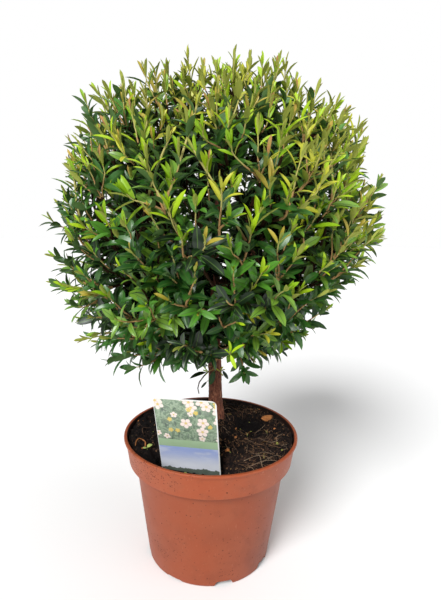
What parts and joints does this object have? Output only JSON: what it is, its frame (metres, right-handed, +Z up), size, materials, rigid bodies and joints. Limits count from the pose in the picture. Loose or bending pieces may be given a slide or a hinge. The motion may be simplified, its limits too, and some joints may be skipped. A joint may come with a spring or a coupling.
{
  "type": "potted myrtle lollipop topiary",
  "caption": "Small-leaved myrtle trained as a lollipop standard: a clipped ball of leaves on a bare trunk, in a plastic nursery pot with compost and a push-in label.",
  "frame": {"origin": "centre of the pot's flat underside, on the surface that it stands on", "axes": "+Z up along the pot's axis; -Y is the plant's front, where the label faces; +X is to the right seen from the front"},
  "size_m": [0.314, 0.3199, 0.4762],
  "materials": {
    "pot": "terracotta-coloured moulded plastic, satin, a little dusty",
    "compost": "damp dark peat and bark fibre",
    "bark": "thin reddish-brown fibrous bark, matte",
    "foliage": "small glossy dark green leaves in sprays",
    "young_foliage": "small leaves in sprays, dark green with yellow-green young tips",
    "label": "thin printed plastic card, slightly glossy"
  },
  "bodies": {
    "root": {"pot": "pot", "compost": "compost", "trunk": "bark", "leader": "bark", "plant_label": "label", "bough_upper_1": "bark", "bough_upper_2": "bark", "bough_upper_3": "bark", "bough_upper_4": "bark", "bough_middle_1": "bark", "bough_middle_2": "bark", "bough_middle_3": "bark", "bough_middle_4": "bark", "bough_middle_5": "bark", "bough_lower_1": "bark", "bough_lower_2": "bark", "bough_lower_3": "bark", "bough_lower_4": "bark", "foliage_crest": "young_foliage", "foliage_upper_1": "young_foliage", "foliage_upper_2": "young_foliage", "foliage_upper_3": "young_foliage", "foliage_upper_4": "young_foliage", "foliage_middle_1": "foliage", "foliage_middle_2": "foliage", "foliage_middle_3": "foliage", "foliage_middle_4": "foliage", "foliage_middle_5": "foliage", "foliage_lower_1": "foliage", "foliage_lower_2": "foliage", "foliage_lower_3": "foliage", "foliage_lower_4": "foliage"}
  },
  "joints": []
}
